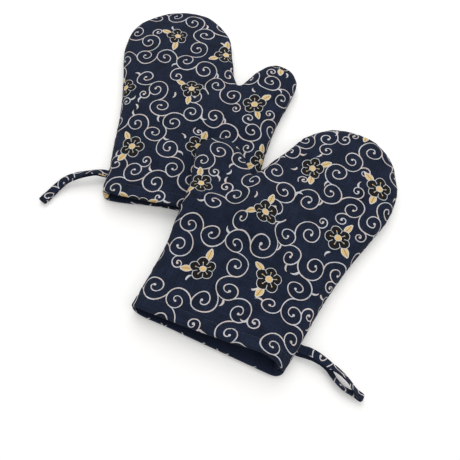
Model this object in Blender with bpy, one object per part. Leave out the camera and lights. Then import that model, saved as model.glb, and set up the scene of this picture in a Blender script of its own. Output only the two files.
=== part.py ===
"""A pair of padded cotton oven mitts, lying on a table with the front mitt's thumb over the back mitt.

Each mitt is two halves, palm down and back up, that meet at a side seam. Each half has three layers:
a printed shell, batting and a lining. The shell turns in at the seam and, as a lip, over the end of
the batting at the mouth. Both mitts are the same pattern, mirrored.

A mitt's own frame: X across the cuff, from the hanging loop's side to the thumb's side, Y from the
cuff to the fingertips, Z up from the table. A height in a half is measured from its seam.
"""
import math

import bmesh
import bpy
from mathutils import Matrix, Vector
from mathutils.geometry import delaunay_2d_cdt

# Driving sizes, in metres
MITT_LENGTH = 0.270
CUFF_WIDTH = 0.153
PALM_DEPTH = 0.007
BACK_DEPTH = 0.011

# Layers, from the outside in, and the gap between neighbours
SHELL = 0.0008
BATTING = 0.0035
LINING = 0.0006
GAP = 0.0003

# Turned-in seam: how far its allowance reaches in, where the stitching runs, and its groove
SEAM_ALLOWANCE = 0.0046
SEAM_STITCH_IN = 0.0026
SEAM_PINCH = 0.0009
SEAM_GROOVE = 0.00045
SEAM_THREAD = 0.0004

# Mouths: the back rises and draws in, the palm bows out, and the hem curls off the table
MOUTH_DEPTH = 0.085
HEM_CURL = 0.002
HEM_CURL_RUN = 0.030
BACK_MITT_RISE = 0.004
BACK_MITT_DRAW = 0.0015
BACK_MITT_BOW = 0.0025
BACK_MITT_PEAK_SHARE = -0.20
FRONT_MITT_RISE = 0.008
FRONT_MITT_DRAW = 0.0030
FRONT_MITT_BOW = 0.0045
FRONT_MITT_PEAK_SHARE = -0.10

# Hem thread, sewn round the mouth
HEM_STITCH_AT = 0.012
HEM_THREAD = 0.0004
HEM_THREAD_CLEARANCE = 0.0003

# Hanging loop: one strap folded in half, caught in the side seam
LOOP_LENGTH = 0.072
LOOP_WIDTH = 0.0085
STRAP = 0.0015
STRAP_GAP = 0.0006
LOOP_AT = 0.0243
TABLE_CLEARANCE = 0.0003

# Where the mitts lie: the middle of each cuff, and the turn of its fingers from +Y
BACK_MITT_AT = (-0.0451, -0.0432)
BACK_MITT_TURN = math.radians(-12.2)
FRONT_MITT_AT = (-0.0124, -0.1772)
FRONT_MITT_TURN = math.radians(-24.6)

# How the front mitt climbs the back one: it stays up this far past the back mitt's edge, then runs
# down to the table. It rests on the back mitt's hem thread
DRAPE_HOLD = 0.010
DRAPE_RUN = 0.040
DRAPE_CLEARANCE = HEM_THREAD_CLEARANCE + HEM_THREAD + GAP

# Mesh fineness
SPAN_STEPS = 2
ROUND_STEPS = 3
CUFF_STEPS = 10
PLATEAU_STEP = 0.021

# The mitt's edge from the loop-side cuff corner round the fingers and thumb to the other corner:
# shares of the cuff's width, from its middle, and of the mitt's length
OUTLINE_SHARES = [
    (-0.500, 0.000), (-0.515, 0.045), (-0.558, 0.185), (-0.605, 0.370), (-0.683, 0.556),
    (-0.758, 0.722), (-0.754, 0.815), (-0.692, 0.903), (-0.539, 0.974), (-0.346, 1.000),
    (-0.173, 0.979), (-0.040, 0.913), (0.049, 0.819), (0.110, 0.735), (0.158, 0.661),
    (0.196, 0.640), (0.240, 0.664), (0.310, 0.714), (0.378, 0.752), (0.462, 0.766),
    (0.560, 0.749), (0.615, 0.689), (0.592, 0.604), (0.540, 0.460), (0.504, 0.300),
    (0.500, 0.045), (0.500, 0.000),
]

# Loop stations from the seam: along and aside as shares of the loop's length, height as a share of
# the palm's depth, the clear space between the legs in strap gaps, and the legs' roll in degrees
BACK_LOOP_SHARES = [
    (0.000, 0.000, 1.05, 1.0, 0), (0.080, 0.000, 1.24, 1.0, 0), (0.160, 0.000, 1.40, 1.0, 0),
    (0.265, 0.025, 1.42, 1.0, 0), (0.420, 0.060, 1.25, 1.0, 0), (0.575, 0.115, 0.95, 1.0, 0),
    (0.690, 0.215, 0.65, 1.2, 0), (0.770, 0.310, 0.45, 1.8, 0), (0.845, 0.415, 0.35, 2.6, 0),
]
FRONT_LOOP_SHARES = [
    (0.000, 0.000, 1.05, 1.0, 0), (0.100, -0.010, 1.22, 1.0, 0), (0.230, -0.030, 1.25, 1.0, 4),
    (0.360, -0.040, 1.10, 1.4, 15), (0.460, -0.038, 0.95, 4.5, 42), (0.560, -0.020, 0.85, 7.5, 62),
    (0.670, 0.010, 0.80, 7.8, 66), (0.780, 0.034, 0.75, 5.0, 60), (0.850, 0.048, 0.70, 2.6, 52),
    (0.905, 0.058, 0.65, 1.6, 46),
]

SHELL_BLUE = (0.012, 0.019, 0.045)
LINING_BLUE = (0.008, 0.013, 0.030)
BATTING_WHITE = (0.80, 0.79, 0.75)
THREAD_BLUE = (0.016, 0.024, 0.055)


def smooth(share):
    """An even climb from 0 at share 0 to 1 at share 1."""
    share = min(max(share, 0.0), 1.0)
    return share * share * (3.0 - 2.0 * share)


def outline(points):
    """Points of a smooth line through the given ones, each with its inward normal."""
    spans = [(b - a).length for a, b in zip(points, points[1:])]
    slopes = [Vector((0.0, 1.0))]
    for i in range(1, len(points) - 1):
        before = (points[i] - points[i - 1]) / spans[i - 1]
        after = (points[i + 1] - points[i]) / spans[i]
        slopes.append((before * spans[i] + after * spans[i - 1]) / (spans[i] + spans[i - 1]))
    slopes.append(Vector((0.0, -1.0)))
    line = []
    for i, span in enumerate(spans):
        last = i == len(spans) - 1
        for step in range(SPAN_STEPS + (1 if last else 0)):
            t = step / SPAN_STEPS
            a, b = points[i], points[i + 1]
            u, v = slopes[i] * span, slopes[i + 1] * span
            at = (a * (2 * t**3 - 3 * t**2 + 1) + u * (t**3 - 2 * t**2 + t)
                  + b * (3 * t**2 - 2 * t**3) + v * (t**3 - t**2))
            along = (a * (6 * t**2 - 6 * t) + u * (3 * t**2 - 4 * t + 1)
                     + b * (6 * t - 6 * t**2) + v * (3 * t**2 - 2 * t)).normalized()
            line.append((at, Vector((along.y, -along.x))))
    return line


OUTLINE = outline([Vector((x * CUFF_WIDTH, y * MITT_LENGTH)) for x, y in OUTLINE_SHARES])
EDGE = [point for point, _ in OUTLINE]


def distance_to_edge(point, edge):
    """Distance from a plan point to a closed line, negative inside it."""
    nearest = math.inf
    inside = False
    for a, b in zip(edge, edge[1:] + edge[:1]):
        run = b - a
        t = min(max((point - a).dot(run) / run.length_squared, 0.0), 1.0)
        nearest = min(nearest, (point - a - run * t).length)
        if (a.y > point.y) != (b.y > point.y):
            if point.x < a.x + run.x * (point.y - a.y) / run.y:
                inside = not inside
    return -nearest if inside else nearest


class Mitt:
    """One mitt: its name, where it lies, which side its thumb is on, its mouth and its loop."""

    def __init__(self, name, at, turn, thumb_side, mouth, loop_shares, under=None):
        self.name = name
        self.frame = Matrix.Translation((at[0], at[1], 0.0)) @ Matrix.Rotation(turn, 4, "Z")
        self.thumb_side = thumb_side
        self.rise, self.draw, self.bow, self.peak = mouth
        self.loop_shares = loop_shares
        self.under = under

    def lift(self, x, y):
        """How far the mitt is raised at a plan point by the mitt that it lies over."""
        if self.under is None:
            return 0.0
        at = self.under.frame.inverted() @ self.frame @ Vector((x * self.thumb_side, y, 0.0))
        plan = Vector((at.x * self.under.thumb_side, at.y))
        outside = distance_to_edge(plan, EDGE)
        climb = smooth(1.0 - (outside - DRAPE_HOLD) / DRAPE_RUN)
        top = self.under.at(1, plan.x, max(plan.y, 0.0), BACK_DEPTH).z
        return (top + DRAPE_CLEARANCE) * climb

    def at(self, half, x, y, height):
        """The place in the mitt's frame of a point of a half: +1 the back, -1 the palm."""
        near_mouth = max(0.0, 1.0 - y / MOUTH_DEPTH) ** 2
        side = CUFF_WIDTH / 2 - self.peak if x > self.peak else CUFF_WIDTH / 2 + self.peak
        from_peak = min(abs(x - self.peak) / side, 1.0)
        if half > 0:
            arch = near_mouth * (1.0 - from_peak**2)
            height *= 1.0 + arch * self.rise / BACK_DEPTH
            shift = self.draw * arch
        else:
            shift = -self.bow * near_mouth * (1.0 - from_peak**4)
        curl = HEM_CURL * smooth(1.0 - y / HEM_CURL_RUN)
        z = PALM_DEPTH + half * height + curl + self.lift(x, y)
        return Vector((x * self.thumb_side, y + shift, z))


def depth(half):
    return BACK_DEPTH if half > 0 else PALM_DEPTH


def inset(i, distance):
    point, inward = OUTLINE[i]
    return point + inward * distance


def round_rows(half, deep, lowest):
    """Rows over the rounded edge of the surface that lies deep inside a half, from the lowest up.

    Every layer's edge has its corners at the same angles, so the layers stay parallel.
    """
    radius = depth(half) - deep
    angles = [math.pi / 2 * step / ROUND_STEPS for step in range(ROUND_STEPS + 1)]
    corners = [(deep + radius * (1 - math.cos(a)), radius * math.sin(a)) for a in angles]
    above = [corner for corner in corners if corner[1] > lowest]
    below = corners[len(corners) - len(above) - 1]
    t = (lowest - below[1]) / (above[0][1] - below[1])
    rim = (below[0] + (above[0][0] - below[0]) * t, lowest)
    missing = ROUND_STEPS - len(above)
    rows = [rim]
    for step in range(1, missing + 1):
        t = step / (missing + 1)
        rows.append((rim[0] + (above[0][0] - rim[0]) * t, rim[1] + (above[0][1] - rim[1]) * t))
    return rows + above


def plateau(half):
    """Plan of the level middle of a half: its cuff points, inner points and faces.

    The faces number the edge's points first, then the cuff's, then the inner ones.
    """
    edge = [inset(i, depth(half)) for i in range(len(OUTLINE))]
    start, end = edge[-1], edge[0]
    cuff = [start.lerp(end, step / CUFF_STEPS) for step in range(1, CUFF_STEPS)]
    border = edge + cuff
    inner = []
    row = HEM_STITCH_AT
    count = math.ceil(2 * CUFF_WIDTH / PLATEAU_STEP)
    while row < MITT_LENGTH:
        for column in range(-count, count + 1):
            point = Vector((column * PLATEAU_STEP, row))
            if distance_to_edge(point, border) < -PLATEAU_STEP / 2:
                inner.append(point)
        row += PLATEAU_STEP
    corners = border + inner
    loop = list(range(len(border)))
    found = delaunay_2d_cdt(corners, [], [loop], 1, 0.0)
    original = [ids[0] for ids in found[3]]
    faces = [[original[v] for v in face] for face in found[2]]
    return cuff, inner, faces


PLATEAUS = {half: plateau(half) for half in (1, -1)}


def skin(mitt, half, rows, cuff_y):
    """The points of one surface of a layer: its rows, its cuff points and its inner points."""
    cuff, inner, _ = PLATEAUS[half]
    points = []
    for distance, height in rows:
        for i in range(len(OUTLINE)):
            plan = inset(i, distance)
            y = cuff_y if i in (0, len(OUTLINE) - 1) else plan.y
            points.append(mitt.at(half, plan.x, y, height))
    top = rows[-1][1]
    points += [mitt.at(half, point.x, cuff_y, top) for point in cuff]
    points += [mitt.at(half, point.x, point.y, top) for point in inner]
    return points


def skin_faces(half, row_count):
    """Faces of a surface: strips between its rows, and the plateau.

    Each strip is split along the same diagonals in every layer, so warped layers stay parallel.
    """
    n = len(OUTLINE)
    faces = []
    for row in range(row_count - 1):
        for i in range(n - 1):
            a = row * n + i
            faces.append([a, a + 1, a + 1 + n])
            faces.append([a, a + 1 + n, a + n])
    first = (row_count - 1) * n
    faces += [[first + v for v in face] for face in PLATEAUS[half][2]]
    return faces


def mouth_line(row_count):
    """A surface's points along the mouth, from the thumb's side to the loop's, without row 0."""
    n = len(OUTLINE)
    thumb_side = [row * n + n - 1 for row in range(1, row_count)]
    cuff = [row_count * n + step for step in range(CUFF_STEPS - 1)]
    loop_side = [row * n for row in range(row_count - 1, 0, -1)]
    return thumb_side + cuff + loop_side


def closed_layer(outer, inner, faces, border):
    """Vertices and faces of the solid between two surfaces with the same faces and border."""
    n = len(outer)
    solid = [list(face) for face in faces]
    solid += [[v + n for v in reversed(face)] for face in faces]
    for a, b in zip(border, border[1:] + border[:1]):
        solid.append([a, a + n, b + n, b])
    return outer + inner, solid


def add_object(name, points, faces, material, group, mitt):
    """An object from vertices and faces, carried by its mitt's empty."""
    mesh = bpy.data.meshes.new(name)
    shape = bmesh.new()
    verts = [shape.verts.new(point) for point in points]
    for face in faces:
        shape.faces.new([verts[v] for v in face])
    bmesh.ops.recalc_face_normals(shape, faces=shape.faces)
    shape.to_mesh(mesh)
    shape.free()
    mesh.shade_smooth()
    mesh.set_sharp_from_angle(angle=math.radians(40))
    mesh.materials.append(material)
    obj = bpy.data.objects.new(name, mesh)
    group.objects.link(obj)
    obj.parent = mitt.empty
    return obj


def add_shell(mitt, half, name, material, group):
    """The printed cloth: its turned-in seam, its face, and the lip over the batting's end."""
    n = len(OUTLINE)
    seam = GAP / 2
    lip_rows = round_rows(half, SEAM_ALLOWANCE, 0.0)[1:]
    skins = []
    for deep in (0.0, SHELL):
        rows = [(SEAM_ALLOWANCE, seam + deep), (SEAM_STITCH_IN, seam + SEAM_GROOVE + deep),
                (SEAM_PINCH + deep, seam + deep), (deep, seam + deep)]
        rows += round_rows(half, deep, 0.0)[1:]
        points = skin(mitt, half, rows, deep)
        lip = [(inset(n - 1, d).x, h) for d, h in lip_rows]
        lip += [(point.x, lip_rows[-1][1]) for point in PLATEAUS[half][0]]
        lip += [(inset(0, d).x, h) for d, h in reversed(lip_rows)]
        points += [mitt.at(half, x, deep, height) for x, height in lip]
        skins.append(points)
    faces = skin_faces(half, len(rows))
    mouth = mouth_line(len(rows))
    lip_line = list(range(len(skins[0]) - len(lip), len(skins[0])))
    corner = len(rows) - ROUND_STEPS
    faces.append([n - 1] + mouth[:corner] + [lip_line[0]])
    faces.append([lip_line[-1]] + mouth[-corner:] + [0])
    for i in range(len(lip_line) - 1):
        a = corner - 1 + i
        faces.append([mouth[a], mouth[a + 1], lip_line[i + 1], lip_line[i]])
    border = list(range(n)) + lip_line
    points, faces = closed_layer(*skins, faces, border)
    return add_object(name, points, faces, material, group, mitt)


def add_padding(mitt, half, name, deep, thickness, lowest, cuff_y, material, group):
    """A layer inside the shell, cut level at the seam and square at the mouth."""
    skins = []
    for surface in (deep, deep + thickness):
        rows = round_rows(half, surface, lowest)
        skins.append(skin(mitt, half, rows, cuff_y))
    border = list(range(len(OUTLINE))) + mouth_line(len(rows))
    points, faces = closed_layer(*skins, skin_faces(half, len(rows)), border)
    return add_object(name, points, faces, material, group, mitt)


def add_seam_thread(mitt, material, group):
    """The side seam's thread, in the groove between the two turned-in allowances."""
    curve = bpy.data.curves.new(f"{mitt.name}_seam_thread", "CURVE")
    curve.dimensions = "3D"
    curve.bevel_depth = SEAM_THREAD / 2
    curve.bevel_resolution = 1
    curve.use_fill_caps = True
    spline = curve.splines.new("POLY")
    spline.points.add(len(OUTLINE) - 1)
    for i, point in enumerate(spline.points):
        plan = inset(i, SEAM_STITCH_IN)
        point.co = (*mitt.at(1, plan.x, plan.y, 0.0), 1.0)
    curve.materials.append(material)
    obj = bpy.data.objects.new(curve.name, curve)
    group.objects.link(obj)
    obj.parent = mitt.empty


def edge_at(y):
    """The outline's two x at a height y near the cuff: the loop's side and the thumb's side."""
    sides = []
    for line in (EDGE, EDGE[::-1]):
        i = next(i for i, point in enumerate(line) if point.y > y)
        a, b = line[i - 1], line[i]
        sides.append(a.x + (b.x - a.x) * (y - a.y) / (b.y - a.y))
    return sides


def hem_line(mitt, half):
    """The hem thread's line on one half, as places on the shell in the mitt's frame."""
    left, right = edge_at(HEM_STITCH_AT)
    radius = depth(half)
    arc = round_rows(half, 0.0, 2 * HEM_THREAD)
    across = right - left - 2 * radius
    line = [(left + d, h) for d, h in arc]
    line += [(left + radius + across * step / CUFF_STEPS, radius) for step in range(1, CUFF_STEPS)]
    line += [(right - d, h) for d, h in reversed(arc)]
    return [mitt.at(half, x, HEM_STITCH_AT, height) for x, height in line]


def add_hem_thread(mitt, material, group):
    """The thread stitched round the mouth, which holds shell, batting and lining together."""
    over = hem_line(mitt, 1)
    line = over + hem_line(mitt, -1)[::-1]
    curve = bpy.data.curves.new(f"{mitt.name}_hem_thread", "CURVE")
    curve.dimensions = "3D"
    curve.bevel_depth = HEM_THREAD / 2
    curve.bevel_resolution = 1
    spline = curve.splines.new("POLY")
    spline.use_cyclic_u = True
    spline.points.add(len(line) - 1)
    for i, point in enumerate(spline.points):
        run = line[(i + 1) % len(line)] - line[i - 1]
        outward = Vector((-run.z, 0.0, run.x)).normalized() * mitt.thumb_side
        point.co = (*(line[i] + outward * (HEM_THREAD_CLEARANCE + HEM_THREAD / 2)), 1.0)
    curve.materials.append(material)
    obj = bpy.data.objects.new(curve.name, curve)
    group.objects.link(obj)
    obj.parent = mitt.empty


def loop_root():
    """The plan point where the loop leaves the side seam, and its outward direction."""
    i = next(i for i, point in enumerate(EDGE) if point.y > LOOP_AT)
    a, b = EDGE[i - 1], EDGE[i]
    place = a.lerp(b, (LOOP_AT - a.y) / (b.y - a.y))
    run = (b - a).normalized()
    outward = Vector((-run.y, run.x))
    return place + outward * GAP, outward


def loop_stations(mitt):
    """Centre, width direction, parting direction and half gap at each station of the loop."""
    root, outward = loop_root()
    aside = Vector((-outward.y, outward.x))
    centres = []
    for along, side, height, _, _ in mitt.loop_shares:
        plan = root + (outward * along + aside * side) * LOOP_LENGTH
        centres.append(Vector((plan.x * mitt.thumb_side, plan.y, height * PALM_DEPTH)))
    up = Vector((0.0, 0.0, 1.0))
    stations = []
    for i, (_, _, _, gaps, roll) in enumerate(mitt.loop_shares):
        after = centres[min(i + 1, len(centres) - 1)]
        before = centres[max(i - 1, 0)]
        run = (after - before).normalized()
        if i == 0:
            run = Vector((outward.x * mitt.thumb_side, outward.y, 0.0))
        level = up.cross(run).normalized() * mitt.thumb_side
        over = run.cross(level).normalized() * mitt.thumb_side
        angle = math.radians(roll)
        width = level * math.cos(angle) - over * math.sin(angle)
        part = over * math.cos(angle) + level * math.sin(angle)
        half_gap = gaps * STRAP_GAP / 2
        reach = abs(width.z) * LOOP_WIDTH / 2 + abs(part.z) * (half_gap + STRAP)
        centre = centres[i].copy()
        centre.z = max(centre.z, reach + TABLE_CLEARANCE)
        stations.append((centre, width, part, half_gap))
    return stations


def add_loop(mitt, material, group):
    """The hanging loop: out along one leg, round the fold at its end, and back along the other."""
    stations = loop_stations(mitt)
    sections = []
    for centre, width, part, half_gap in stations:
        sections.append((centre + part * (half_gap + STRAP / 2), width, part))
    centre, width, part, half_gap = stations[-1]
    run = (centre - stations[-2][0]).normalized()
    bend = half_gap + STRAP / 2
    for turn in (45, 90, 135):
        angle = math.radians(turn)
        outward = part * math.cos(angle) + run * math.sin(angle)
        sections.append((centre + outward * bend, width, outward))
    for centre, width, part, half_gap in reversed(stations):
        sections.append((centre - part * (half_gap + STRAP / 2), width, -part))
    points = []
    for centre, width, outward in sections:
        for across, out in ((-1, -1), (1, -1), (1, 1), (-1, 1)):
            points.append(centre + width * across * LOOP_WIDTH / 2 + outward * out * STRAP / 2)
    faces = [[0, 1, 2, 3]]
    for section in range(len(sections) - 1):
        for corner in range(4):
            a = section * 4 + corner
            b = section * 4 + (corner + 1) % 4
            faces.append([a, b, b + 4, a + 4])
    last = len(points) - 4
    faces.append([last + 3, last + 2, last + 1, last])
    centre, width, part, half_gap = stations[0]
    hinge = centre + part * (half_gap + STRAP)
    local = [point - hinge for point in points]
    obj = add_object(f"{mitt.name}_hanging_loop", local, faces, material, group, mitt)
    obj.location = hinge
    return obj


def make_material(name, colour, roughness):
    material = bpy.data.materials.new(name)
    material.use_nodes = True
    shader = material.node_tree.nodes["Principled BSDF"]
    shader.inputs["Base Color"].default_value = (*colour, 1.0)
    shader.inputs["Roughness"].default_value = roughness
    shader.inputs["Metallic"].default_value = 0.0
    return material


def add_mitt(mitt, materials, group):
    """All pieces of one mitt, parented to an empty at the middle of its cuff."""
    mitt.empty = bpy.data.objects.new(f"{mitt.name}_frame", None)
    mitt.empty.matrix_world = mitt.frame
    group.objects.link(mitt.empty)
    batting_in = SHELL + GAP
    lining_in = batting_in + BATTING + GAP
    batting_lowest = GAP / 2 + SEAM_GROOVE + SHELL + GAP
    for half, side in ((-1, "palm"), (1, "back")):
        add_shell(mitt, half, f"{mitt.name}_shell_{side}", materials["shell"], group)
        add_padding(mitt, half, f"{mitt.name}_batting_{side}", batting_in, BATTING, batting_lowest,
                    SHELL + GAP, materials["batting"], group)
        add_padding(mitt, half, f"{mitt.name}_lining_{side}", lining_in, LINING, GAP / 2, 0.0,
                    materials["lining"], group)
    add_seam_thread(mitt, materials["thread"], group)
    add_hem_thread(mitt, materials["thread"], group)
    add_loop(mitt, materials["shell"], group)


def main():
    for obj in list(bpy.data.objects):
        bpy.data.objects.remove(obj, do_unlink=True)
    group = bpy.data.collections.new("oven_mitts")
    bpy.context.scene.collection.children.link(group)
    materials = {
        "shell": make_material("printed_cotton", SHELL_BLUE, 0.85),
        "batting": make_material("batting", BATTING_WHITE, 0.95),
        "lining": make_material("lining_cotton", LINING_BLUE, 0.85),
        "thread": make_material("thread", THREAD_BLUE, 0.7),
    }
    back_mouth = (BACK_MITT_RISE, BACK_MITT_DRAW, BACK_MITT_BOW, BACK_MITT_PEAK_SHARE * CUFF_WIDTH)
    front_mouth = (FRONT_MITT_RISE, FRONT_MITT_DRAW, FRONT_MITT_BOW, FRONT_MITT_PEAK_SHARE * CUFF_WIDTH)
    back = Mitt("back_mitt", BACK_MITT_AT, BACK_MITT_TURN, 1, back_mouth, BACK_LOOP_SHARES)
    front = Mitt("front_mitt", FRONT_MITT_AT, FRONT_MITT_TURN, -1, front_mouth, FRONT_LOOP_SHARES,
                 under=back)
    add_mitt(back, materials, group)
    add_mitt(front, materials, group)


main()
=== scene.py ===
import math
import random

import bmesh
import bpy
import numpy as np
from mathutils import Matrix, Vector
from mathutils.geometry import delaunay_2d_cdt


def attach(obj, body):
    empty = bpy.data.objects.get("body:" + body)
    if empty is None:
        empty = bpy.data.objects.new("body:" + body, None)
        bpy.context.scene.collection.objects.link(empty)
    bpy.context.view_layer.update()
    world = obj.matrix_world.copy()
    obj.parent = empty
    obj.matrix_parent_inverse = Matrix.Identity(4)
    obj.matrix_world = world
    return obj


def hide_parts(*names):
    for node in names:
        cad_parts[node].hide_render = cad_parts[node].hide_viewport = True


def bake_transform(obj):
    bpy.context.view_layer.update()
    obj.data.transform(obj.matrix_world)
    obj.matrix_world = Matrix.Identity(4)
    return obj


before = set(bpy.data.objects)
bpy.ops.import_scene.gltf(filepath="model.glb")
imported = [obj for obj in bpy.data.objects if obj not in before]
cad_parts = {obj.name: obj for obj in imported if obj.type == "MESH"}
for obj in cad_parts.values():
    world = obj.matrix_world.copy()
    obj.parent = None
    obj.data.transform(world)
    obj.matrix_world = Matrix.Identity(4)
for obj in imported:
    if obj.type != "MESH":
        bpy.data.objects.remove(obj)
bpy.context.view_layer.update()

# The mitts, in metres, as the CAD has them
MITT_LENGTH = 0.27
CUFF_WIDTH = 0.153
PALM_DEPTH = 0.007
BACK_DEPTH = 0.011
MOUTH_DEPTH = 0.085
HEM_CURL_RUN = 0.03
BACK_AT = (-0.0451, -0.0432)
BACK_TURN = math.radians(-12.2)
FRONT_AT = (-0.0124, -0.1772)
FRONT_TURN = math.radians(-24.6)
OUTLINE_SHARES = [
    (-0.5, 0.0), (-0.515, 0.045), (-0.558, 0.185), (-0.605, 0.37), (-0.683, 0.556),
    (-0.758, 0.722), (-0.754, 0.815), (-0.692, 0.903), (-0.539, 0.974), (-0.346, 1.0),
    (-0.173, 0.979), (-0.04, 0.913), (0.049, 0.819), (0.11, 0.735), (0.158, 0.661),
    (0.196, 0.64), (0.24, 0.664), (0.31, 0.714), (0.378, 0.752), (0.462, 0.766),
    (0.56, 0.749), (0.615, 0.689), (0.592, 0.604), (0.54, 0.46), (0.504, 0.3),
    (0.5, 0.045), (0.5, 0.0),
]
CROTCH = 15

# The hanging loops, as the CAD has them
LOOP_LENGTH = 0.072
LOOP_WIDTH = 0.0085
STRAP = 0.0015
STRAP_GAP = 0.0006
LOOP_AT = 0.0243
LOOP_ROOT_GAP = 0.0003
TABLE_CLEARANCE = 0.0003
SPLAY_RUN = 0.45
BACK_LOOP = {"body": "back_loop", "stretch": 1.07, "splay": 0.0, "shares": [
    (0.0, 0.0, 1.05, 1.0, 0), (0.08, 0.0, 1.24, 1.0, -12), (0.16, 0.0, 1.4, 1.3, -30),
    (0.265, 0.02, 1.42, 1.3, -32), (0.42, 0.052, 1.25, 1.0, -15), (0.575, 0.11, 0.95, 1.0, -4),
    (0.69, 0.213, 0.65, 1.2, 8), (0.77, 0.308, 0.45, 1.8, 14), (0.845, 0.413, 0.35, 2.6, 16),
]}
FRONT_LOOP = {"body": "front_loop", "stretch": 1.0, "splay": 0.0014, "shares": [
    (0.0, -0.012, 1.05, 1.0, 0), (0.1, -0.04, 1.22, 1.0, 0), (0.23, -0.06, 1.25, 1.0, -3),
    (0.33, -0.062, 1.1, 1.3, -9), (0.41, -0.054, 0.95, 4.0, -26), (0.5, -0.034, 0.85, 9.5, -44),
    (0.6, -0.006, 0.8, 12.0, -54), (0.7, 0.018, 0.75, 11.0, -55), (0.78, 0.03, 0.7, 6.0, -48),
    (0.85, 0.034, 0.65, 1.8, -38), (0.92, 0.035, 0.62, 1.0, -30),
]}

# Layers of the padding, as depths from the outside of the cloth, and the rolled lip at the mouth
CLOTH = 0.0005
BATTING_FROM = 0.0007
BATTING_TO = 0.004
LINING_FROM = 0.00445
LINING_TO = 0.0048
LIP = 0.0022
SHELL_ROLL = 2.85
BATTING_SET_BACK = 0.003
LINING_ROLL = 0.5

# The cuffs widen a little at the hem, on the loop's side
FLARE_RUN = 0.035
FLARE_SIDE_RUN = 0.05

# How each mitt's mouth stands open: a rise and a draw back of the upper half, a bow of the lower one.
# Its lips give a half, a place across the cuff, a reach, and how far back and up that stretch lies.
# The loop's sewn ends thicken the corner inside by its fill, and weigh its seam down by its droop.
BACK_MOUTH = {
    "rise": 0.0015, "draw": 0.0, "bow": 0.0026, "curl": 0.001, "peak": -0.3 * CUFF_WIDTH,
    "flare": 0.004, "fill": 0.0027, "droop": 0.0015,
    "lips": [(1, -0.0217, 0.035, -0.0033, 0.0), (-1, -0.0137, 0.03, 0.0024, 0.0)],
}
FRONT_MOUTH = {
    "rise": 0.003, "draw": 0.001, "bow": 0.0054, "curl": 0.002, "peak": -0.12 * CUFF_WIDTH,
    "flare": 0.0, "fill": 0.006, "droop": 0.0042,
    "lips": [(1, -0.0573, 0.034, 0.0052, 0.0035), (1, 0.04, 0.035, -0.0027, 0.0)],
}
ARCH_POWER = 3.5
BOW_POWER = 8
LOOP_SIDE_BOW_POWER = 16
LIP_POWER = 8
LIP_FREE_HEIGHT = 0.0035
FILL_RUN = 0.05
FILL_DEPTH = 0.0031
DROOP_RUN = 0.02
DROOP_FROM = 0.06

# Where each mitt lies a little off its pattern: place, reach and move, in the mitt's own plan
BACK_NUDGES = [
    ((-0.085, 0.262), 0.028, (0.001, -0.004)), ((-0.05, 0.274), 0.025, (0.0, -0.0026)),
    ((0.003, 0.233), 0.022, (0.0038, 0.0005)), ((0.031, 0.172), 0.013, (0.0, -0.0052)),
    ((0.092, 0.162), 0.028, (0.0016, 0.0)), ((0.084, 0.207), 0.014, (-0.0012, -0.0014)),
    ((-0.065, 0.0), 0.03, (0.0, -0.0018)), ((-0.103, 0.248), 0.015, (0.0016, -0.0016)),
]
FRONT_NUDGES = [
    ((-0.085, 0.058), 0.034, (0.0022, 0.0)), ((-0.11, 0.165), 0.032, (-0.0021, 0.0)),
    ((-0.11, 0.236), 0.014, (0.0022, -0.0006)), ((-0.075, 0.266), 0.016, (0.0, 0.0018)),
    ((0.009, 0.213), 0.026, (-0.003, -0.001)), ((0.076, 0.0), 0.022, (0.0004, -0.003)),
]

# Relief of the cloth over its plain shape
CROWN = {1: 0.0022, -1: 0.0}
CROWN_FROM = 0.003
CROWN_RUN = 0.045
CROWN_HEM_RUN = 0.05
SEAM_PINCH = 0.0011
SEAM_PINCH_REACH = 0.0015
PUCKER = 0.00035
PUCKER_LENGTH = 0.011
PUCKER_REACH = 0.01
PUCKER_FROM = 0.003
HEM_PUCKER_LENGTH = 0.014
HEM_PUCKER_REACH = 0.009
HEM_STITCH_AT = 0.0125
STITCH_GROOVE = 0.0005
STITCH_GROOVE_REACH = 0.0012
WAVE = 0.0006
WAVE_RUN = 0.02
WIDE_WAVE_LENGTH = 0.075
FINE_WAVE_LENGTH = 0.034
FINE_WAVE_SHARE = 0.5

# The front mitt over the back one: how it presses it down, falls past its edge and bends its own thumb
PRESS = 0.0025
PRESS_REACH = 0.004
PRESS_RUN = 0.022
PRESS_EDGE_RUN = 0.008
DRAPE_IN = 0.008
DRAPE_RUN = 0.055
DRAPE_CORNER = 0.25
DRAPE_CLEARANCE = 0.0008
THUMB_FLATTEN = 0.002
THUMB_FROM = (0.0, 0.08)
THUMB_RUN = (0.045, 0.075)
THUMB_PIVOT = (0.055, 0.16)
THUMB_MOVE = (-0.0046, -0.0083)
THUMB_WIDEN = 0.04
THUMB_SHORTEN = 0.07
THUMB_TURN = math.radians(2.9)

# How much less the flat cloth wraps the rounded side in the crotch of the thumb
CROTCH_REACH = 0.016
CROTCH_TUCK = 0.75

# Mesh fineness
EDGE_STEPS = 12
OUTLINE_STEP = 4
GRID = 0.0026
GRID_ROW_SHARE = 0.87
GRID_FROM = 0.0055
LINING_GRID = 0.005
SEAM_ROWS = (0.0006, 0.0013, 0.0021, 0.0031, 0.0045)
HEM_ROW = 0.0007
HEM_STITCH_ROWS = 3
HEM_ROWS_TO = 0.005
BORDER_GAP = 0.0004
ROW_MARGIN = 0.0003
GRID_MARGIN = 0.0007
POINT_SPACING = 0.0006
CUT_TOLERANCE = 1e-7
ON_EDGE = 1e-5
BLOCK = 4096


def smooth(share):
    """An even climb from 0 at share 0 to 1 at share 1."""
    share = np.clip(share, 0.0, 1.0)
    return share * share * (3.0 - 2.0 * share)


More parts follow.
